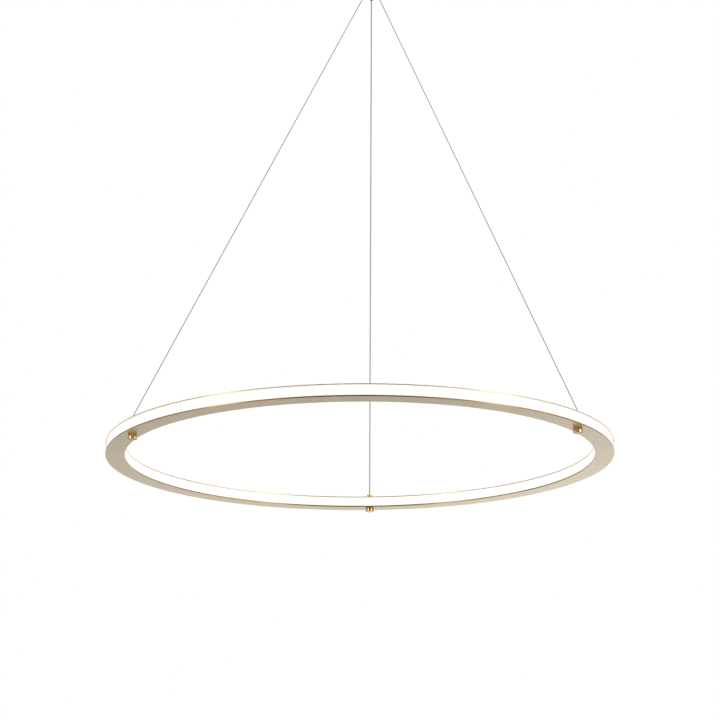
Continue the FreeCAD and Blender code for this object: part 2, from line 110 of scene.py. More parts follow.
# ------------------------------------------------------------------ node helpers
class Net:
    """A small wrapper for building a material's node tree."""

    def __init__(self, name):
        self.mat = bpy.data.materials.new(name)
        self.mat.use_nodes = True
        self.nt = self.mat.node_tree
        self.bsdf = self.nt.nodes["Principled BSDF"]
        self.coord = None

    def node(self, kind, **props):
        n = self.nt.nodes.new(kind)
        for k, v in props.items():
            setattr(n, k, v)
        return n

    def link(self, a, b):
        self.nt.links.new(a, b)

    def put(self, socket, value):
        if isinstance(value, bpy.types.NodeSocket):
            self.link(value, socket)
        else:
            socket.default_value = value

    def set(self, **values):
        for k, v in values.items():
            self.bsdf.inputs[k.replace("_", " ")].default_value = v

    def to(self, name, socket):
        self.link(socket, self.bsdf.inputs[name])

    def obj(self):
        if self.coord is None:
            self.coord = self.node("ShaderNodeTexCoord")
        return self.coord.outputs["Object"]

    def math(self, op, a, b=0.0, c=0.0):
        n = self.node("ShaderNodeMath", operation=op)
        self.put(n.inputs[0], a)
        self.put(n.inputs[1], b)
        self.put(n.inputs[2], c)
        return n.outputs[0]

    def vec(self, op, a, b=(0, 0, 0)):
        n = self.node("ShaderNodeVectorMath", operation=op)
        self.put(n.inputs[0], a)
        self.put(n.inputs[1], b)
        return n.outputs["Value"] if op in ("LENGTH", "DOT_PRODUCT", "DISTANCE") else n.outputs["Vector"]

    def xyz(self, v):
        n = self.node("ShaderNodeSeparateXYZ")
        self.link(v, n.inputs[0])
        return n.outputs[0], n.outputs[1], n.outputs[2]

    def join(self, x, y, z):
        n = self.node("ShaderNodeCombineXYZ")
        self.put(n.inputs[0], x)
        self.put(n.inputs[1], y)
        self.put(n.inputs[2], z)
        return n.outputs[0]

    def noise(self, v, scale, detail=3.0, rough=0.55, distort=0.0):
        n = self.node("ShaderNodeTexNoise")
        n.noise_dimensions = "3D"
        self.link(v, n.inputs["Vector"])
        n.inputs["Scale"].default_value = scale
        n.inputs["Detail"].default_value = detail
        n.inputs["Roughness"].default_value = rough
        n.inputs["Distortion"].default_value = distort
        return n.outputs["Fac"]

    def ramp(self, fac, stops, kind="LINEAR"):
        n = self.node("ShaderNodeValToRGB")
        n.color_ramp.interpolation = kind
        el = n.color_ramp.elements
        while len(el) < len(stops):
            el.new(0.5)
        for e, (pos, col) in zip(el, stops):
            e.position = pos
            e.color = (*col, 1.0) if len(col) == 3 else col
        self.link(fac, n.inputs[0])
        return n.outputs["Color"]

    def span(self, v, a, b, c, d, clamp=True):
        n = self.node("ShaderNodeMapRange")
        n.clamp = clamp
        self.put(n.inputs["Value"], v)
        for k, x in zip(("From Min", "From Max", "To Min", "To Max"), (a, b, c, d)):
            self.put(n.inputs[k], x)
        return n.outputs["Result"]

    def mix(self, fac, a, b, blend="MIX"):
        n = self.node("ShaderNodeMix", data_type="RGBA", blend_type=blend)
        n.clamp_factor = True
        self.put(n.inputs["Factor"], fac)
        for s, v in ((n.inputs[6], a), (n.inputs[7], b)):
            if isinstance(v, bpy.types.NodeSocket):
                self.link(v, s)
            else:
                s.default_value = (*v, 1.0)
        return n.outputs[2]

    def bump(self, height, distance, strength=1.0, normal=None):
        n = self.node("ShaderNodeBump")
        n.inputs["Strength"].default_value = strength
        n.inputs["Distance"].default_value = distance
        self.link(height, n.inputs["Height"])
        if normal is not None:
            self.link(normal, n.inputs["Normal"])
        return n.outputs["Normal"]

    def wheel(self, centre):
        """(unit direction round a vertical axis, radius, height) of the point."""
        p = self.vec("SUBTRACT", self.obj(), centre)
        x, y, z = self.xyz(p)
        flat = self.join(x, y, 0.0)
        r = self.vec("LENGTH", flat)
        n = self.vec("NORMALIZE", flat)
        return n, r, z


def satin(name, light, dark, centre, rough=(0.30, 0.40), grain=1.0, brush=1.0):
    """Satin plated metal with a very fine brushing round an axis and a faint clouding."""
    m = Net(name)
    n, r, z = m.wheel(centre)
    nx, ny, _ = m.xyz(n)
    k = m.join(m.math("MULTIPLY", nx, 26.0), m.math("MULTIPLY", ny, 26.0),
               m.math("MULTIPLY", m.math("ADD", r, m.math("MULTIPLY", z, 0.7)), 2600.0))
    streak = m.noise(k, 1.0, 4.0, 0.6)
    k2 = m.join(m.math("MULTIPLY", nx, 9.0), m.math("MULTIPLY", ny, 9.0), m.math("MULTIPLY", r, 420.0))
    band = m.noise(k2, 1.0, 3.0, 0.55)
    cloud = m.noise(m.obj(), 14.0, 4.0, 0.6, 0.3)
    fine = m.noise(m.obj(), 1400.0, 2.0, 0.5)
    t = m.math("ADD", m.math("MULTIPLY", cloud, 0.45), m.math("MULTIPLY", band, 0.35 * brush))
    t = m.math("ADD", t, m.math("MULTIPLY", streak, 0.2 * brush))
    t = m.span(t, 0.32, 0.68, 0.0, 1.0)
    m.to("Base Color", m.mix(t, dark, light))
    m.set(Metallic=1.0)
    ro = m.math("ADD", m.math("MULTIPLY", streak, 0.5), m.math("MULTIPLY", cloud, 0.5))
    m.to("Roughness", m.span(ro, 0.3, 0.7, rough[0], rough[1]))
    h = m.math("ADD", m.math("MULTIPLY", streak, 0.6 * brush), m.math("MULTIPLY", fine, 0.4 * grain))
    m.to("Normal", m.bump(h, 0.00002, 0.12))
    return m.mat


def polished(name, light, dark, centre=None, rough=(0.10, 0.20), turned=3000.0, scale=160.0):
    """Polished plated metal: faint turning lines round an axis, smudges and a few fine scratches."""
    m = Net(name)
    smudge = m.noise(m.obj(), scale, 4.0, 0.62, 0.4)
    specks = m.noise(m.obj(), scale * 9.0, 2.0, 0.5)
    m.to("Base Color", m.mix(m.span(smudge, 0.3, 0.7, 0.0, 1.0), dark, light))
    m.set(Metallic=1.0)
    m.to("Roughness", m.span(m.math("ADD", m.math("MULTIPLY", smudge, 0.7), m.math("MULTIPLY", specks, 0.3)),
                             0.3, 0.7, rough[0], rough[1]))
    if centre is not None:
        n, r, z = m.wheel(centre)
        nx, ny, _ = m.xyz(n)
        k = m.join(m.math("MULTIPLY", nx, 1.5), m.math("MULTIPLY", ny, 1.5),
                   m.math("MULTIPLY", m.math("ADD", r, z), turned))
        lines = m.noise(k, 1.0, 3.0, 0.6)
        m.to("Normal", m.bump(m.math("ADD", lines, m.math("MULTIPLY", specks, 0.3)), 0.00003, 0.3))
    else:
        m.to("Normal", m.bump(specks, 0.00003, 0.2))
    return m.mat


def plastic(name, base, dark, rough=(0.35, 0.5), grain_scale=900.0, depth=0.00006, coat=0.0):
    m = Net(name)
    grain = m.noise(m.obj(), grain_scale, 3.0, 0.6)
    blot = m.noise(m.obj(), 40.0, 3.0, 0.5)
    m.to("Base Color", m.mix(m.span(blot, 0.35, 0.65, 0.0, 1.0), dark, base))
    m.to("Roughness", m.span(grain, 0.3, 0.7, rough[0], rough[1]))
    m.set(Metallic=0.0, Coat_Weight=coat)
    m.to("Normal", m.bump(grain, depth, 0.5))
    return m.mat


def opal(name, centre, wall_r):
    """Lit opal plastic: even and white across the band, with a painted warm reflection of the metal plates towards its
    top and bottom edges.
    """
    m = Net(name)
    n, r, z = m.wheel(centre)
    up = m.span(z, 0.0, RING_H, 0.0, 1.0)
    edge = m.math("ABSOLUTE", m.math("SUBTRACT", up, 0.5))
    mottle = m.noise(m.obj(), 22.0, 3.0, 0.5)
    grain = m.noise(m.obj(), 2200.0, 2.0, 0.5)
    e = m.math("ADD", edge, m.math("MULTIPLY", m.math("SUBTRACT", mottle, 0.5), 0.08))
    # the warmer colour towards the edges is a painted reflection of the champagne plates on the lit opal
    glow_and_painted_plate_reflection = m.ramp(e, [(0.0, (1.0, 0.99, 0.95)), (0.30, (1.0, 0.99, 0.94)), (0.42, (1.0, 0.98, 0.91)), (0.5, (1.0, 0.96, 0.86))])
    m.to("Emission Color", glow_and_painted_plate_reflection)
    m.set(Emission_Strength=0.72, Metallic=0.0, Coat_Weight=0.15, Coat_Roughness=0.2)
    m.to("Base Color", m.mix(m.span(mottle, 0.35, 0.65, 0.0, 1.0), (0.78, 0.77, 0.73), (0.80, 0.79, 0.76)))
    m.to("Roughness", m.span(grain, 0.3, 0.7, 0.38, 0.48))
    m.to("Normal", m.bump(grain, 0.00003, 0.3))
    return m.mat


RC = (RING_CX, 0.0, ZB)
M_PLATE = satin("champagne_satin", (0.81, 0.685, 0.49), (0.77, 0.645, 0.455), RC, rough=(0.19, 0.25))
# The rims are one gold finish in two copies: the low rims darker and browner as painted shade, the top rims paler as
# painted light from the lit opal band.
M_RIM_PAINTED_SHADE = satin("rim_gold_painted_shade", (0.68, 0.405, 0.15), (0.61, 0.35, 0.12), RC, rough=(0.17, 0.23))
M_RIM_PAINTED_LIGHT = satin("rim_gold_painted_light", (0.89, 0.765, 0.565), (0.82, 0.69, 0.49), RC, rough=(0.20, 0.27))
M_OPAL_OUT = opal("opal_outer", RC, RING_RO)
M_OPAL_IN = opal("opal_inner", RC, RING_RI)


def brass(name, centre, rough=(0.07, 0.12)):
    return polished(name, (0.90, 0.60, 0.275), (0.83, 0.53, 0.225), centre, rough=rough)


M_STEEL = polished("wire_steel", (0.42, 0.44, 0.445), (0.32, 0.335, 0.34), None, rough=(0.36, 0.48), scale=500.0)
M_ZINC = polished("zinc_steel", (0.66, 0.67, 0.68), (0.56, 0.57, 0.585), (0, 0, 0), rough=(0.24, 0.36), scale=120.0)
M_BRASS_SMALL = polished("small_brass", (0.80, 0.62, 0.30), (0.70, 0.52, 0.24), None, rough=(0.2, 0.3), scale=300.0)
M_ALU = satin("mill_aluminium", (0.72, 0.72, 0.73), (0.62, 0.62, 0.64), RC, rough=(0.32, 0.45))
M_BOARD = plastic("strip_board", (0.86, 0.86, 0.82), (0.80, 0.80, 0.76))
M_DRIVER = plastic("driver_case", (0.84, 0.84, 0.82), (0.80, 0.80, 0.78), (0.4, 0.55), 700.0)
M_TERMINAL = plastic("terminal_plastic", (0.74, 0.73, 0.69), (0.70, 0.69, 0.65), (0.35, 0.5), 800.0)
M_LEAD = plastic("lead_jacket", (0.05, 0.05, 0.055), (0.035, 0.035, 0.04), (0.3, 0.42), 1500.0)
M_SEAL = plastic("rubber_seal", (0.03, 0.03, 0.03), (0.02, 0.02, 0.02), (0.6, 0.75), 1800.0)
M_NYLON = plastic("nylon", (0.82, 0.82, 0.78), (0.76, 0.76, 0.72), (0.3, 0.45), 900.0)


def phosphor():
    m = Net("light_package")
    n = m.noise(m.obj(), 900.0, 3.0, 0.6)
    c = m.mix(m.span(n, 0.3, 0.7, 0.0, 1.0), (0.85, 0.62, 0.12), (0.95, 0.75, 0.22))
    m.to("Base Color", c)
    m.to("Emission Color", c)
    m.set(Emission_Strength=0.4, Roughness=0.5)
    return m.mat


M_CHIP = phosphor()


# ------------------------------------------------------------------ mesh helpers
def finish_mesh(name, verts, faces, mats, face_mats=None, sharp=32.0, body=None, replaces=(), slot=None):
    me = bpy.data.meshes.new(name)
    me.from_pydata([tuple(v) for v in verts], [], faces)
    me.validate(clean_customdata=False)
    ob = bpy.data.objects.new(name, me)
    scene.collection.objects.link(ob)
    for mt in mats:
        me.materials.append(mt)
    if face_mats is not None:
        me.polygons.foreach_set("material_index", np.array(face_mats, dtype=np.int32))
    bm = bmesh.new()
    bm.from_mesh(me)
    bmesh.ops.recalc_face_normals(bm, faces=bm.faces)
    bm.to_mesh(me)
    bm.free()
    me.polygons.foreach_set("use_smooth", np.ones(len(me.polygons), dtype=bool))
    me.set_sharp_from_angle(angle=math.radians(sharp))
    me.update()
    if body:
        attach(ob, body)
    if replaces:
        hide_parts(*replaces)
    return ob


def rounded(points, radii, seg=5):
    """A closed outline with each corner rounded by its radius (0 keeps it)."""
    out = []
    n = len(points)
    for i, (p, rad) in enumerate(zip(points, radii)):
        p = Vector(p)
        if rad <= 0:
            out.append(p)
            continue
        a, b = Vector(points[i - 1]), Vector(points[(i + 1) % n])
        u, w = (a - p).normalized(), (b - p).normalized()
        half = u.angle(w) / 2
        cut = rad / math.tan(half)
        c = p + (u + w).normalized() * (rad / math.sin(half))
        s, e = p + u * cut - c, p + w * cut - c
        turn = s.angle(e)
        sign = 1 if s.x * e.y - s.y * e.x > 0 else -1
        for k in range(seg + 1):
            t = sign * turn * k / seg
            out.append(c + Vector((s.x * math.cos(t) - s.y * math.sin(t), s.x * math.sin(t) + s.y * math.cos(t))))
    return [(q.x, q.y) for q in out]


def supported(outline, gap=0.0004):
    """The outline with a point near each end of its long edges, so that flats shade flat."""
    out = []
    for p, q in zip(outline, outline[1:] + outline[:1]):
        out.append(p)
        run = math.hypot(q[0] - p[0], q[1] - p[1])
        if run > 4 * gap:
            for k in (gap / run, 1 - gap / run):
                out.append((p[0] + (q[0] - p[0]) * k, p[1] + (q[1] - p[1]) * k))
    return out


def lathe(name, outline, origin, mats, seg=96, axis=None, pick=None, closed=True, ripple=None, **kw):
    """A full turn of an outline of (radius, height). Points on the axis are shared.

    ripple gives the radius lost at (radius, height, angle), for knurls, ribs and threads."""
    origin = Vector(origin)
    turn = Matrix.Identity(3) if axis is None else Vector((0, 0, 1)).rotation_difference(Vector(axis)).to_matrix()
    verts, rows = [], []
    for r, h in outline:
        if r < 1e-7:
            rows.append([len(verts)] * seg)
            verts.append(origin + turn @ Vector((0, 0, h)))
            continue
        row = []
        for k in range(seg):
            t = 2 * math.pi * k / seg
            row.append(len(verts))
            q = r - ripple(r, h, t) if ripple else r
            verts.append(origin + turn @ Vector((q * math.cos(t), q * math.sin(t), h)))
        rows.append(row)
    faces, which = [], []
    n = len(outline)
    for i in range(n if closed else n - 1):
        a, b = rows[i], rows[(i + 1) % n]
        if outline[i][0] < 1e-7 and outline[(i + 1) % n][0] < 1e-7:
            continue
        mid = ((outline[i][0] + outline[(i + 1) % n][0]) / 2, (outline[i][1] + outline[(i + 1) % n][1]) / 2)
        slope = (outline[(i + 1) % n][0] - outline[i][0], outline[(i + 1) % n][1] - outline[i][1])
        idx = pick(mid, slope) if pick else 0
        for k in range(seg):
            q = (k + 1) % seg
            loop = [a[k], a[q], b[q], b[k]]
            f = []
            for v in loop:
                if v not in f:
                    f.append(v)
            if len(f) >= 3:
                faces.append(f)
                which.append(idx)
    return finish_mesh(name, verts, faces, mats, which, **kw)


def prism(name, outline, x0, x1):
    """An outline of (y, z) carried from x0 to x1."""
    n = len(outline)
    verts = [(x, y, z) for x in (x0, x1) for y, z in outline]
    faces = [list(range(n)), list(range(2 * n - 1, n - 1, -1))]
    faces += [[k, k + n, (k + 1) % n + n, (k + 1) % n] for k in range(n)]
    return finish_mesh(name, verts, faces, [])


def tray(name, x0, x1, y0, y1, radius, rows, mats=(), **kw):
    """A closed body with a rounded rectangular outline: rows are (height, inset)."""
    verts, faces, n = [], [], 0
    for z, inset in rows:
        i = inset
        loop = rounded([(x0 + i, y0 + i), (x1 - i, y0 + i), (x1 - i, y1 - i), (x0 + i, y1 - i)], [radius - i * 0.5] * 4, 6)
        n = len(loop)
        verts += [(x, y, z) for x, y in loop]
    for r in range(len(rows) - 1):
        faces += [[r * n + k, r * n + (k + 1) % n, (r + 1) * n + (k + 1) % n, (r + 1) * n + k] for k in range(n)]
    faces += [list(range(n)), [(len(rows) - 1) * n + k for k in range(n)]]
    return finish_mesh(name, verts, faces, list(mats), **kw)


def cut_out(ob, cutters, sharp=32.0, operation="DIFFERENCE"):
    """Takes the cutters out of the piece (or joins them to it), and removes them."""
    for c in cutters:
        mod = ob.modifiers.new("cut", "BOOLEAN")
        mod.operation = operation
        mod.solver = "EXACT"
        mod.object = c
    bpy.context.view_layer.update()
    me = bpy.data.meshes.new_from_object(ob.evaluated_get(bpy.context.evaluated_depsgraph_get()))
    ob.modifiers.clear()
    ob.data = me
    for c in cutters:
        bpy.data.objects.remove(c)
    me.polygons.foreach_set("use_smooth", np.ones(len(me.polygons), dtype=bool))
    me.set_sharp_from_angle(angle=math.radians(sharp))
    me.update()
    return ob


BODY_OF = {n: b for b, names in frame["record"]["behaviour"]["bodies"].items() for n in names}


def softened(node, mat, width=0.0003, angle=34.0):
    """A copy of a hard piece with its sharp edges rolled over, in place of the hard one."""
    bm = bmesh.new()
    bm.from_mesh(NODES[node].data)
    bmesh.ops.remove_doubles(bm, verts=bm.verts, dist=1e-6)
    bmesh.ops.dissolve_limit(bm, angle_limit=math.radians(0.6), verts=bm.verts, edges=bm.edges)
    edges = [e for e in bm.edges if e.is_manifold and e.calc_face_angle() > math.radians(angle)]
    bmesh.ops.bevel(bm, geom=edges, offset=width, offset_type="OFFSET", segments=2, profile=0.5, affect="EDGES",
                    clamp_overlap=True)
    bmesh.ops.triangulate(bm, faces=[f for f in bm.faces if len(f.verts) > 4])
    bmesh.ops.recalc_face_normals(bm, faces=bm.faces)
    me = bpy.data.meshes.new(node + "_soft")
    bm.to_mesh(me)
    bm.free()
    me.materials.clear()
    me.materials.append(mat)
    me.polygons.foreach_set("material_index", np.zeros(len(me.polygons), dtype=np.int32))
    me.polygons.foreach_set("use_smooth", np.ones(len(me.polygons), dtype=bool))
    me.set_sharp_from_angle(angle=math.radians(40))
    ob = bpy.data.objects.new(node + "_rounded", me)
    scene.collection.objects.link(ob)
    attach(ob, BODY_OF[node])
    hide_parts(node)
    return ob


# ------------------------------------------------------------------ the lines come first
MOUTH = {"left": (-0.018568, -0.008947, -0.075124), "right": (0.015585, -0.010805, -0.075909),
         "far": (-0.000205, 0.019749, -0.075544)}
CORNER = {"left": (-0.544525, -0.262374, -1.240000), "right": (0.448485, -0.310941, -1.240000),
          "far": (-0.005960, 0.573315, -1.240000)}
END = {"left": (-0.544525, -0.262374, -1.245000), "right": (0.448485, -0.310941, -1.245000),
       "far": (-0.005960, 0.573315, -1.245000)}
ALONG = {s: (Vector(CORNER[s]) - PIVOT).normalized() for s in SIDES}


def spline_points(side, spacing):
    """Evenly spaced points along the smooth route of one line."""
    c = Vector(CORNER[side])
    ctrl = [Vector(MOUTH[side]), c - ALONG[side] * 0.005, c, Vector(END[side])]
    cu = bpy.data.curves.new("route_" + side, "CURVE")
    cu.dimensions = "3D"
    sp = cu.splines.new("NURBS")
    sp.points.add(len(ctrl) - 1)
    for p, q in zip(sp.points, ctrl):
        p.co = (*q, 1.0)
    sp.order_u = 3
    sp.use_endpoint_u = True
    cu.resolution_u = 64
    ob = bpy.data.objects.new("route_" + side, cu)
    scene.collection.objects.link(ob)
    bpy.context.view_layer.update()
    dg = bpy.context.evaluated_depsgraph_get()
    me = bpy.data.meshes.new_from_object(ob.evaluated_get(dg))
    pts = np.array([v.co for v in me.vertices], float)
    bpy.data.objects.remove(ob)
    bpy.data.meshes.remove(me)
    step = np.r_[0, np.cumsum(np.linalg.norm(np.diff(pts, axis=0), axis=1))]
    n = max(8, int(round(step[-1] / spacing)))
    s = np.linspace(0, step[-1], n + 1)
    return np.stack([np.interp(s, step, pts[:, k]) for k in range(3)], 1), step[-1]


def frames(pts):
    """A tangent and two steady normals at each point of a path."""
    t = np.gradient(pts, axis=0)
    t /= np.linalg.norm(t, axis=1)[:, None]
    up = np.array([0.0, 0.0, 1.0]) if abs(t[0, 2]) < 0.9 else np.array([1.0, 0.0, 0.0])
    a = np.cross(t[0], up)
    a /= np.linalg.norm(a)
    A = [a]
    for k in range(1, len(pts)):
        a = A[-1] - t[k] * np.dot(A[-1], t[k])
        A.append(a / np.linalg.norm(a))
    A = np.array(A)
    return t, A, np.cross(t, A)


def tube_mesh(pts, radius, sides, offset=None):
    """Vertices and faces of a closed tube along a path, with an optional offset of each ring's centre."""
    t, a, b = frames(pts)
    mid = pts if offset is None else pts + offset
    ang = np.linspace(0, 2 * math.pi, sides, endpoint=False)
    v = (mid[:, None, :] + radius * (np.cos(ang)[None, :, None] * a[:, None, :] + np.sin(ang)[None, :, None] * b[:, None, :]))
    v = v.reshape(-1, 3)
    f = []
    n = len(pts)
    for i in range(n - 1):
        for k in range(sides):
            q = (k + 1) % sides
            f.append((i * sides + k, i * sides + q, (i + 1) * sides + q, (i + 1) * sides + k))
    f.append(tuple(range(sides - 1, -1, -1)))
    f.append(tuple((n - 1) * sides + k for k in range(sides)))
    return v, f


def rope(pts, diameter, strands, lay, sides):
    """Strands laid round a core, as in a small wire rope. lay is the length of one full turn."""
    t, a, b = frames(pts)
    s = np.r_[0, np.cumsum(np.linalg.norm(np.diff(pts, axis=0), axis=1))]
    sr = diameter / 2 / (1 + 1 / math.sin(math.pi / strands)) * 1.0
    sr = (diameter / 2) * math.sin(math.pi / strands) / (1 + math.sin(math.pi / strands))
    rr = diameter / 2 - sr
    verts, faces = [], []
    for k in range(strands):
        th = 2 * math.pi * (s / lay + k / strands)
        off = rr * (np.cos(th)[:, None] * a + np.sin(th)[:, None] * b)
        v, f = tube_mesh(pts, sr * 1.04, sides, off)
        base = sum(len(x) for x in verts)
        verts.append(v)
        faces += [tuple(i + base for i in q) for q in f]
    v, f = tube_mesh(pts[:: max(1, len(pts) // 400)] if len(pts) > 800 else pts, rr - sr * 0.35, 6)
    base = sum(len(x) for x in verts)
    verts.append(v)
    faces += [tuple(i + base for i in q) for q in f]
    return np.concatenate(verts), faces


def cable_material():
    """Clear jacket over a pale tinned braid: the braid's lay shows as fine slanted lines."""
    m = Net("cable_jacket")
    x, y, z = m.xyz(m.obj())
    weave = m.noise(m.join(m.math("MULTIPLY", x, 900.0), m.math("MULTIPLY", y, 900.0), m.math("MULTIPLY", z, 420.0)), 1.0, 3.0, 0.6)
    tone = m.noise(m.obj(), 60.0, 3.0, 0.5)
    c = m.mix(m.span(weave, 0.3, 0.7, 0.0, 1.0), (0.55, 0.53, 0.455), (0.80, 0.78, 0.69))
    c = m.mix(m.math("MULTIPLY", tone, 0.35), c, (0.70, 0.68, 0.60))
    m.to("Base Color", c)
    m.set(Metallic=0.2, Coat_Weight=0.8, Coat_Roughness=0.08)
    m.to("Roughness", m.span(weave, 0.3, 0.7, 0.25, 0.4))
    m.to("Normal", m.bump(weave, 0.00004, 0.4))
    return m.mat


M_CABLE = cable_material()
LINE_D = {"left": 0.0018, "right": 0.0018, "far": 0.0032}
LINE_NODE = {"left": "suspension_wire_left", "right": "suspension_wire_right", "far": "power_cable"}
for side in SIDES:
    d = LINE_D[side]
    if side == "far":
        pts, length = spline_points(side, 0.004)
        v, f = tube_mesh(pts, d / 2, 20)
        mat = M_CABLE
    else:
        pts, length = spline_points(side, 0.0013)
        v, f = rope(pts, d, 12, 0.014, 6)
        mat = M_STEEL
    ob = finish_mesh(LINE_NODE[side] + "_line", v, f, [mat], sharp=60.0, body="hub",
                     replaces=(LINE_NODE[side],), slot="cable_jacket" if side == "far" else "steel")
    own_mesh(ob)

# ------------------------------------------------------------------ the ring
SEG = 720


def plate(name, low, body, node):
    """A flat ring plate: satin faces, gold rims painted as lit and shaded copies of one finish (darker and browner on
    the low plate as painted shade, paler on the top plate as painted light from the lit band), a small rounded bevel
    along both edges of the show face.
    """
    if low:
        pts = [(RING_RI, 0.0), (RING_RO, 0.0), (RING_RO, PLATE_LOW_T), (RING_RI, PLATE_LOW_T)]
        rad = [BEVEL, BEVEL, 0.00015, 0.00015]
    else:
        pts = [(RING_RI, RING_H - PLATE_T), (RING_RO, RING_H - PLATE_T), (RING_RO, RING_H), (RING_RI, RING_H)]
        rad = [0.00015, 0.00015, BEVEL, BEVEL]
    outline = supported(rounded(pts, rad, 4))

    def pick(mid, slope):
        return 1 if abs(slope[1]) > abs(slope[0]) * 0.35 else 0

    return lathe(name, outline, (RING_CX, 0, ZB), [M_PLATE, M_RIM_PAINTED_SHADE if low else M_RIM_PAINTED_LIGHT], seg=SEG, pick=pick,
                 sharp=40.0, body=body, replaces=(node,), slot="champagne_metal")


plate("ring_bottom_plate", True, "ring", "bottom_plate")
top = plate("ring_top_plate", False, "ring", "top_plate")
cutters = [lathe("cut_sink_%d" % k, [(0.0, 0.0003), (0.00315, 0.0003), (0.0016, -0.00124), (0.0016, -0.0040), (0.0, -0.0040)],
                 around(15 + 30 * k, ANCHOR_R, ZT), [], seg=48, closed=False) for k in range(12)]
cutters += [lathe("cut_stud_" + side, [(0.0, 0.002), (0.0031, 0.002), (0.0031, -0.006), (0.0, -0.006)],
                  around(ANCHOR_DEG[side], ANCHOR_R, ZT), [], seg=48, closed=False) for side in SIDES]
cut_out(top, cutters, 40.0)

z0, z1 = PLATE_LOW_T, RING_H - PLATE_T
for name, node, r0, r1, mat in (
        ("ring_outer_diffuser", "outer_diffuser", RING_RO - RECESS - DIFF_T, RING_RO - RECESS, M_OPAL_OUT),
        ("ring_inner_diffuser", "inner_diffuser", RING_RI + RECESS, RING_RI + RECESS + DIFF_T, M_OPAL_IN)):
    outline = supported(rounded([(r0, z0), (r1, z0), (r1, z1), (r0, z1)], [0.0003] * 4, 3))
    lathe(name, outline, (RING_CX, 0, ZB), [mat], seg=SEG, sharp=40.0, body="ring", replaces=(node,), slot="opal")

# ------------------------------------------------------------------ knobs and collars
for side in SIDES:
    at = around(ANCHOR_DEG[side], ANCHOR_R, ZB)
    low = -KNOB_H
    pts = [(0.0, low + 0.00012), (0.0016, low), (KNOB_R, low), (KNOB_R, -KNOB_GAP), (0.0033, -KNOB_GAP), (0.0033, -0.0040), (0.0, -0.0040)]
    rad = [0, 0.0004, 0.0008, 0.0004, 0, 0, 0]
    lathe("knob_" + side, supported(rounded(pts, rad, 6), 0.0003), at, [brass("brass_knob_" + side, tuple(at))], seg=128, sharp=50.0,
          body="knob_" + side, replaces=("anchor_knob_" + side,), slot="gold_trim", closed=False)

verts, faces, base = [], [], 0
COLLAR_MATS = [brass("brass_collar_" + side, tuple(around(ANCHOR_DEG[side], ANCHOR_R, ZT)), (0.32, 0.40)) for side in SIDES]
for i, side in enumerate(SIDES):
    at = around(ANCHOR_DEG[side], ANCHOR_R, ZT)
    hole = (LINE_D[side] / 2) + 0.00015
    crown = [(DOME_R * math.cos(math.radians(t)), DOME_SKIRT + (DOME_H - DOME_SKIRT) * math.sin(math.radians(t)))
             for t in range(0, 66, 6)]
    pts = [(0.00305, 0.0), (DOME_R, 0.0)] + crown + [(hole + 0.0005, DOME_H), (hole, DOME_H - 0.0004), (hole, 0.0053), (0.00305, 0.0053)]
    lathe("collar_" + side, pts, at, [COLLAR_MATS[i]], seg=96, sharp=40.0, body="ring", slot="gold_trim")
for side in SIDES:
    ob = bpy.data.objects["collar_" + side]
    if side == "left":
        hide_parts("anchor_collars")

# ------------------------------------------------------------------ canopy, hub and fittings
def mm(points):
    return [(x * MM, y * MM) for x, y in points]


M_CANOPY = satin("canopy_satin", (0.81, 0.685, 0.49), (0.77, 0.645, 0.455), (0, 0, 0), rough=(0.20, 0.27))
M_HUB = brass("hub_brass", (0, 0, PIVOT_Z), (0.14, 0.20))

# canopy cover: a spun cup with a rolled inner edge and two slots for the thumb screws
cup = rounded(mm([(31, -34.5), (90, -34.5), (90, -1), (88.5, -1), (88.5, -33), (31, -33)]),
              [0.00045, 0.0030, 0.0003, 0.0003, 0.0015, 0.00045], 6)
cover = lathe("canopy_cover_spun", supported(cup, 0.0006), (0, 0, 0), [M_CANOPY], seg=256, sharp=40.0, body="cover",
              replaces=("canopy_cover",), slot="canopy_finish")
arch = [(-0.0024, 0.002)] + [(-0.0024 * math.cos(t), -0.012 - 0.0024 * math.sin(t))
                             for t in np.linspace(0, math.pi, 17)] + [(0.0024, 0.002)]
cut_out(cover, [prism("cut_slot_r", arch, 0.086, 0.092), prism("cut_slot_l", arch, -0.092, -0.086)], 40.0)


def straight_knurl(lo, hi, r0, count, depth):
    """Radius lost to a straight knurl or ribs on the band between two heights."""
    def lost(r, h, t):
        return depth * (0.5 - 0.5 * math.cos(count * t)) if lo - 1e-6 <= h <= hi + 1e-6 and r > r0 else 0.0
    return lost


def thread(lo, hi, r0, pitch, depth):
    """Radius lost to a screw thread between two heights."""
    def lost(r, h, t):
        if not (lo - 1e-6 <= h <= hi + 1e-6 and r > r0):
            return 0.0
        k = (h / pitch - t / (2 * math.pi)) % 1.0
        return depth * abs(2 * k - 1)
    return lost


def both(a, b):
    return lambda r, h, t: a(r, h, t) + b(r, h, t)


def stack(r, lo, hi, step):
    n = max(2, int(round((hi - lo) / step)))
    return [(r, lo + (hi - lo) * k / n) for k in range(n + 1)]


# thumb screws: threaded shank, straight-knurled head with a dished face
for side, sx in (("left", -1), ("right", 1)):
    at = Vector((0, 0, -0.012))
    line = [(0.0, 0.0760), (0.00155, 0.0760)] + stack(0.00195, 0.0764, 0.0896, 0.00014) + mm([
        (1.7, 89.7), (1.7, 90.5), (4.5, 90.5), (4.75, 90.7), (5.0, 91.1), (5.0, 95.8), (4.75, 96.2), (4.5, 96.4), (3.5, 96.4),
        (3.1, 96.15), (2.4, 96.0), (0.0, 96.0)])
    lathe("thumb_screw_" + side, line, at, [M_HUB], seg=144, axis=(sx, 0, 0), closed=False, sharp=50.0,
          ripple=both(straight_knurl(0.0911, 0.0958, 0.00495, 36, 0.00035), thread(0.0764, 0.0896, 0.0019, 0.0007, 0.0003)),
          body="cover_screw_" + side, replaces=("canopy_screw_" + side,), slot="hub_finish")

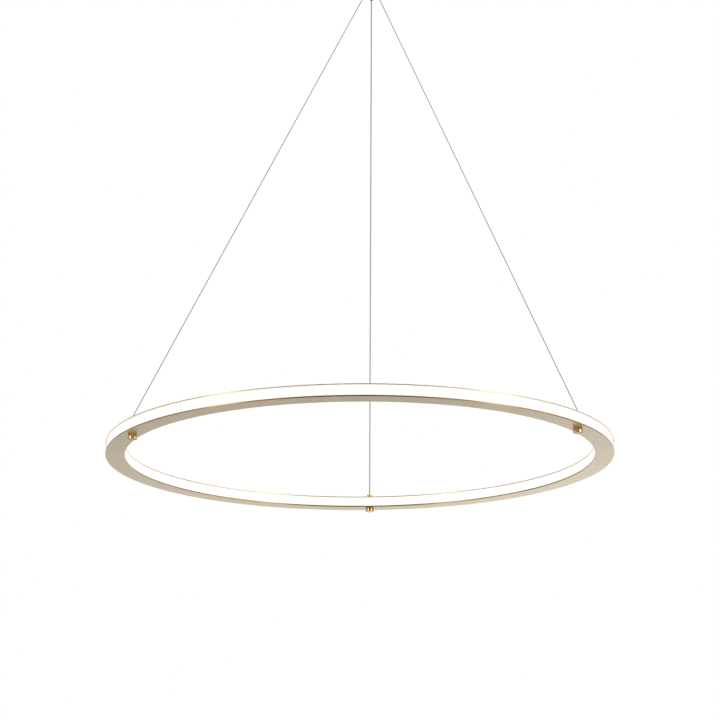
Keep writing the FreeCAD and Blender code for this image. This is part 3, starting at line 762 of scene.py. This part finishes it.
# wire grippers: knurled barrels; release plungers: plain rounded tips
for side in ("left", "right"):
    w = 0.9
    line = rounded(mm([(w + 0.15, 21.5), (3.0, 21.5), (3.0, 27.2), (6.5, 27.2), (6.5, 29.4), (5.0, 29.4), (5.0, 30.8)]),
                   [0, 0.0002, 0, 0.0003, 0.0006, 0, 0], 4)
    line += mm([(4.8, 31.0), (5.0, 31.2)]) + stack(0.0050, 0.0313, 0.0387, 0.0012)[0:] + mm([(5.0, 38.8), (4.8, 39.0), (5.0, 39.2), (5.0, 40.4),
                (4.85, 40.75), (4.5, 41.0), (3.65, 41.0), (3.65, 33.0), (w + 0.15, 33.0)])
    lathe("gripper_" + side, line, PIVOT, [M_HUB], seg=160, axis=ALONG[side], sharp=50.0,
          ripple=straight_knurl(0.0313, 0.0387, 0.00495, 40, 0.00022), body="hub",
          replaces=("wire_gripper_" + side,), slot="hub_finish")
    line = rounded(mm([(w + 0.35, 36.2), (3.3, 36.2), (3.3, 43.2), (2.4, 46.0), (w + 0.35, 46.0)]),
                   [0.0001, 0.0002, 0.0012, 0.0006, 0.0003], 5)
    lathe("plunger_" + side + "_tip", supported(line), PIVOT, [M_HUB], seg=64, axis=ALONG[side], sharp=50.0,
          body="plunger_" + side, replaces=("release_plunger_" + side,), slot="hub_finish")

# cable gland: flanged body with a ribbed nut
c = 1.6
line = rounded(mm([(c + 0.1, 21.5), (3.0, 21.5), (3.0, 27.2), (6.5, 27.2), (6.5, 29.2), (4.0, 29.2)]), [0, 0.0002, 0, 0.0003, 0.0004, 0], 4)
line += stack(0.0040, 0.0294, 0.0378, 0.00012) + mm([(3.7, 38.0), (c + 0.1, 38.0)])
lathe("gland_body", line, PIVOT, [M_HUB], seg=64, axis=ALONG["far"], sharp=50.0, body="hub",
      ripple=thread(0.0294, 0.0378, 0.00395, 0.0006, 0.00022), replaces=("cable_gland",), slot="hub_finish")
line = rounded(mm([(4.08, 29.6), (5.6, 29.6), (6.0, 29.9)]), [0, 0.0003, 0], 4) + mm([(6.2, 30.3)]) + stack(0.0062, 0.0306, 0.0404, 0.0020) + mm([
    (6.1, 40.7), (5.9, 41.1), (5.5, 41.9), (4.75, 43.5), (4.45, 43.9), (4.1, 44.0), (3.5, 44.0), (3.4, 43.9), (3.4, 38.6), (4.08, 38.6)])
lathe("gland_nut_ribbed", line, PIVOT, [M_HUB], seg=160, axis=ALONG["far"], sharp=50.0,
      ripple=straight_knurl(0.0306, 0.0404, 0.0061, 20, 0.00055), body="gland_nut", replaces=("cable_gland_nut",), slot="hub_finish")

# stem: an M10 tube with its thread, and chamfered hexagon nuts
line = mm([(3.2, -25.8), (3.4, -26.0), (4.4, -26.0)]) + stack(0.0050, -0.0257, -0.0028, 0.0002) + mm([(4.4, -2.5), (3.4, -2.5), (3.2, -2.7)])
lathe("stem_tube", line, (0, 0, 0), [M_ZINC], seg=64, sharp=50.0, ripple=thread(-0.0257, -0.0028, 0.0049, 0.0010, 0.00045),
      body="canopy", replaces=("threaded_stem",), slot="zinc_steel")


def hexagon_rows(z0, z1, flats, bore, seg=144):
    """Rings of a hexagon nut with turned chamfers, from the bore's foot round to its top."""
    crown = flats / 2 * 1.005
    rings = []
    for kind in ("b0", "c0", "h0", "h1", "c1", "b1"):
        row = []
        for k in range(seg):
            t = 2 * math.pi * k / seg
            edge = flats / 2 / math.cos((t % (math.pi / 3)) - math.pi / 6)
            drop = max(0.0, edge - crown) * math.tan(math.radians(30)) + 0.00008
            r, z = {"b0": (bore, z0), "c0": (crown - 0.00015, z0), "h0": (edge, z0 + drop), "h1": (edge, z1 - drop),
                    "c1": (crown - 0.00015, z1), "b1": (bore, z1)}[kind]
            row.append((r * math.cos(t), r * math.sin(t), z))
        rings.append(row)
    return rings


verts, faces = [], []
for z0, z1 in ((-0.0135, -0.0095), (-0.0243, -0.0203)):
    rings = hexagon_rows(z0, z1, 0.013, 0.00505)
    base, seg = len(verts), len(rings[0])
    for row in rings:
        verts += row
    for i in range(len(rings)):
        for k in range(seg):
            q, j = (k + 1) % seg, (i + 1) % len(rings)
            faces.append([base + i * seg + k, base + i * seg + q, base + j * seg + q, base + j * seg + k])
finish_mesh("stem_hexagon_nuts", verts, faces, [M_ZINC], sharp=25.0, body="canopy", replaces=("stem_nuts",), slot="zinc_steel")

for node, mat, slot_name, width in (
        ("swivel_fork", M_ZINC, "zinc_steel", 0.0005),
        ("stem_boss", M_ZINC, "zinc_steel", 0.0004), ("tilt_pin", M_ZINC, "zinc_steel", 0.0003),
        ("tilt_pin_clip", M_ZINC, "zinc_steel", 0.00015), ("swivel_washer", M_NYLON, "nylon", 0.0002),
        ("lamp_connector", M_TERMINAL, "terminal_plastic", 0.0004)):
    softened(node, mat, width)

# driver: a moulded case with a lid seam, vent grooves and two screw tabs
case = tray("led_driver_case", -0.050, 0.050, 0.036, 0.064, 0.0022,
            [(-0.0215, 0.0008), (-0.02135, 0.0004), (-0.0211, 0.00015), (-0.0207, 0.0), (-0.0073, 0.0), (-0.0072, 0.0003),
             (-0.0068, 0.0003), (-0.0067, 0.0), (-0.0017, 0.0), (-0.0015, 0.0002)], [M_DRIVER], sharp=34.0,
            body="canopy", replaces=("led_driver",), slot="driver_case")
tabs = [tray("tab_%d" % k, min(x0, x1), max(x0, x1), 0.044, 0.054, 0.0018, [(-0.0035, 0.0002), (-0.0034, 0.0), (-0.0016, 0.0), (-0.0015, 0.0002)])
        for k, (x0, x1) in enumerate(((0.047, 0.058), (-0.058, -0.047)))]
cut_out(case, tabs, 34.0, "UNION")
holes = [lathe("hole_%d" % k, [(0.0, 0.003), (0.0016, 0.003), (0.0016, -0.003), (0.0, -0.003)], (x, 0.049, -0.0025), [],
               seg=32, closed=False) for k, x in enumerate((0.0545, -0.0545))]
slots = [prism("vent_%d" % k, [(0.0405, -0.0225), (0.0405, -0.0211), (0.0595, -0.0211), (0.0595, -0.0225)],
               x - 0.0006, x + 0.0006) for k, x in enumerate(np.arange(-0.030, 0.0301, 0.004))]
cut_out(case, holes + slots, 34.0)

# terminal block: three poles set apart by grooves
block = softened("terminal_block", M_TERMINAL, 0.0004)
cut_out(block, [prism("gap_%d" % k, [(-0.052, -0.0170), (-0.052, -0.0138), (-0.032, -0.0138), (-0.032, -0.0170)],
                      x - 0.0007, x + 0.0007) for k, x in enumerate((0.030, 0.040))], 34.0)

KEEP = {
    M_ALU: ("core_profile",),
    M_BOARD: ("outer_light_strip", "inner_light_strip"),
    M_CHIP: ("outer_light_chips", "inner_light_chips"),
    M_ZINC: ("top_plate_screws", "driver_screws", "ceiling_plate"),
    M_HUB: ("swivel_hub",),
    M_BRASS_SMALL: ("terminal_screws", "anchor_stud_left", "anchor_stud_right", "anchor_stud_far"),
    M_STEEL: ("wire_tail_left", "wire_tail_right", "wire_end_left", "wire_end_right", "wire_ferrules"),
    M_CABLE: ("cable_tail", "cable_end"),
    M_SEAL: ("cable_gland_seal",),
    M_LEAD: ("driver_input_leads", "driver_output_lead", "strip_leads"),
}
for mat, names in KEEP.items():
    for n in names:
        ob = NODES[n]
        ob.data.materials.clear()
        ob.data.materials.append(mat)
        ob.data.polygons.foreach_set("material_index", np.zeros(len(ob.data.polygons), dtype=np.int32))

# ------------------------------------------------------------------ floor, light and backdrop
CARD = {"x": ((0.15, 0.78), (0.50, 0.86), (0.70, 1.0), (0.80, 1.10), (0.9, 1.14)), "z": (0.0, 0.70), "gz": (0.25, 1.25),
        "dip": (0.75, 0.40, 0.31)}
floor_me = bpy.data.meshes.new("floor")
S = 40.0
floor_me.from_pydata([(-S, -S, 0), (S, -S, 0), (S, S, 0), (-S, S, 0)], [], [(0, 1, 2, 3)])
floor = bpy.data.objects.new("floor", floor_me)
floor.location = (0, 0, -2.75)
scene.collection.objects.link(floor)
fm = Net("floor_paint")
fn = fm.noise(fm.obj(), 3.0, 4.0, 0.6)
fm.to("Base Color", fm.mix(fn, (0.84, 0.84, 0.835), (0.88, 0.88, 0.875)))
fm.set(Roughness=0.75)
fm.set(Emission_Color=(1.0, 1.0, 0.995, 1.0))
fm.to("Emission Strength", fm.math("MULTIPLY", fm.node("ShaderNodeLightPath").outputs["Is Camera Ray"], 0.27))
see_through = fm.node("ShaderNodeMixShader")
fm.link(fm.node("ShaderNodeNewGeometry").outputs["Backfacing"], see_through.inputs[0])
fm.link(fm.bsdf.outputs[0], see_through.inputs[1])
fm.link(fm.node("ShaderNodeBsdfTransparent").outputs[0], see_through.inputs[2])
fm.link(see_through.outputs[0], fm.nt.nodes["Material Output"].inputs["Surface"])
floor_me.materials.append(fm.mat)

world = bpy.data.worlds.new("studio")
scene.world = world
world.use_nodes = True
wt = world.node_tree
for n in list(wt.nodes):
    wt.nodes.remove(n)


def wnode(kind, **props):
    n = wt.nodes.new(kind)
    for k, v in props.items():
        setattr(n, k, v)
    return n


def wmath(op, a, b=0.0):
    n = wnode("ShaderNodeMath", operation=op)
    for s, v in ((n.inputs[0], a), (n.inputs[1], b)):
        if isinstance(v, bpy.types.NodeSocket):
            wt.links.new(v, s)
        else:
            s.default_value = v
    return n.outputs[0]


def wramp(fac, stops):
    n = wnode("ShaderNodeValToRGB")
    n.color_ramp.interpolation = "EASE"
    el = n.color_ramp.elements
    while len(el) < len(stops):
        el.new(0.5)
    for e, (pos, v) in zip(el, stops):
        e.position = pos
        e.color = (v, v, v, 1) if isinstance(v, float) else (*v, 1)
    wt.links.new(fac, n.inputs[0])
    return n.outputs["Color"]


# a white studio: a dark gap in front of the object between two wide soft walls, a pale wall behind it
w_sep = wnode("ShaderNodeSeparateXYZ")
wt.links.new(wnode("ShaderNodeTexCoord").outputs["Generated"], w_sep.inputs[0])
wx, wy, wz = w_sep.outputs
flat = wmath("MAXIMUM", wmath("SQRT", wmath("ADD", wmath("MULTIPLY", wx, wx), wmath("MULTIPLY", wy, wy))), 0.001)
turn = wmath("DIVIDE", wmath("ADD", wmath("DIVIDE", wmath("MULTIPLY", wy, -1.0), flat), 1.0), 2.0)
low_light = wramp(turn, ((0.0, 0.80), (0.30, 0.55), (0.42, 0.50), (0.56, 0.72), (0.78, 0.76), (0.895, 0.44), (0.955, (0.09, 0.058, 0.036)), (1.0, (0.05, 0.03, 0.018))))
high_light = wramp(turn, ((0.0, 0.80), (0.30, 0.55), (0.42, 0.50), (0.56, 0.72), (0.78, 0.76), (1.0, 0.62)))
w_high = wnode("ShaderNodeMapRange")
wt.links.new(wz, w_high.inputs["Value"])
w_high.inputs["From Min"].default_value, w_high.inputs["From Max"].default_value = 0.30, 0.46
w_ring = wnode("ShaderNodeMix", data_type="RGBA")
wt.links.new(w_high.outputs["Result"], w_ring.inputs["Factor"])
wt.links.new(low_light, w_ring.inputs[6])
wt.links.new(high_light, w_ring.inputs[7])
ring_light = w_ring.outputs[2]
side_light = wmath("ADD", 1.0, wmath("MULTIPLY", wx, 0.18))
height_light = wramp(wmath("MAXIMUM", wz, 0.0), ((0.0, 1.0), (0.45, 0.85), (0.8, 0.5), (1.0, 0.7)))
w_env = wnode("ShaderNodeBackground")
wt.links.new(ring_light, w_env.inputs["Color"])
wt.links.new(wmath("MULTIPLY", side_light, height_light), w_env.inputs["Strength"])
w_back = wnode("ShaderNodeBackground")
w_back.inputs["Color"].default_value = (1, 1, 1, 1)
w_path = wnode("ShaderNodeLightPath")
w_mix = wnode("ShaderNodeMixShader")
w_out = wnode("ShaderNodeOutputWorld")
wt.links.new(w_path.outputs["Is Camera Ray"], w_mix.inputs[0])
wt.links.new(w_env.outputs[0], w_mix.inputs[1])
wt.links.new(w_back.outputs[0], w_mix.inputs[2])
wt.links.new(w_mix.outputs[0], w_out.inputs["Surface"])

# a low glowing card behind the ring, brighter to the right and upwards, for the undersides
card_me = bpy.data.meshes.new("card")
card_me.from_pydata([(-4.5, 0, 0), (4.5, 0, 0), (4.5, 0, 1.28), (-4.5, 0, 1.28)], [], [(0, 1, 2, 3)])
card = bpy.data.objects.new("card", card_me)
card.location = (0, 5.0, -2.74)
scene.collection.objects.link(card)
cm = Net("card_glow")
cx, cy, cz = cm.xyz(cm.obj())
across = cm.span(cx, -2.0, 2.0, 0.0, 1.0)
glow_x = cm.ramp(across, [(k, (v, v, v)) for k, v in CARD["x"]])
glow_z = cm.span(cz, CARD["z"][0], CARD["z"][1], CARD["gz"][0], CARD["gz"][1])
spot = cm.vec("LENGTH", cm.join(cm.math("DIVIDE", cx, CARD["dip"][0]), cm.math("DIVIDE", cz, CARD["dip"][1]), 0.0))
dip = cm.span(spot, 0.0, 1.3, CARD["dip"][2], 1.0)
cm.to("Emission Strength", cm.math("MULTIPLY", cm.math("MULTIPLY", glow_x, glow_z), dip))
cm.to("Emission Color", cm.mix(across, (1.0, 0.975, 0.935), (1.0, 1.0, 1.0)))
cm.set(Base_Color=(0, 0, 0, 1), Specular_IOR_Level=0.0)
card_me.materials.append(cm.mat)
card.visible_camera = False
card.visible_diffuse = False
card.visible_shadow = False


def area(name, location, target, size, power, colour=(1, 1, 1)):
    li = bpy.data.lights.new(name, "AREA")
    li.shape = "RECTANGLE"
    li.size, li.size_y = size
    li.energy = power
    li.color = colour
    ob = bpy.data.objects.new(name, li)
    scene.collection.objects.link(ob)
    ob.location = location
    ob.rotation_mode = "QUATERNION"
    ob.rotation_quaternion = (Vector(target) - Vector(location)).to_track_quat("-Z", "Y")
    ob.visible_camera = False
    return ob


area("key_left", (-1.59, -1.19, -0.80), (-0.54, -0.26, -0.80), (0.50, 0.90), 1.4)
area("key_right", (1.54, -1.19, -0.80), (0.45, -0.31, -0.80), (0.50, 0.90), 1.45)
# the same two lights again for the turned brass alone, whose highlights are brighter than the rims'
turned = bpy.data.collections.new("turned_brass")
for ob in [o for o in scene.objects if o.type == "MESH" and o.name.startswith(("knob_", "collar_"))]:
    turned.objects.link(ob)
for name, x, power in (("knob_key_left", -1.0, 3.6), ("knob_key_right", 1.0, 4.4)):
    at = (-1.585, -1.185, -0.80) if x < 0 else (1.535, -1.185, -0.80)
    to = (-0.54, -0.26, -0.80) if x < 0 else (0.45, -0.31, -0.80)
    area(name, at, to, (0.50, 0.90), power).light_linking.receiver_collection = turned
area("top_soft", (0.4, 1.2, 1.6), (0, 0, -1.2), (2.6, 2.0), 60)
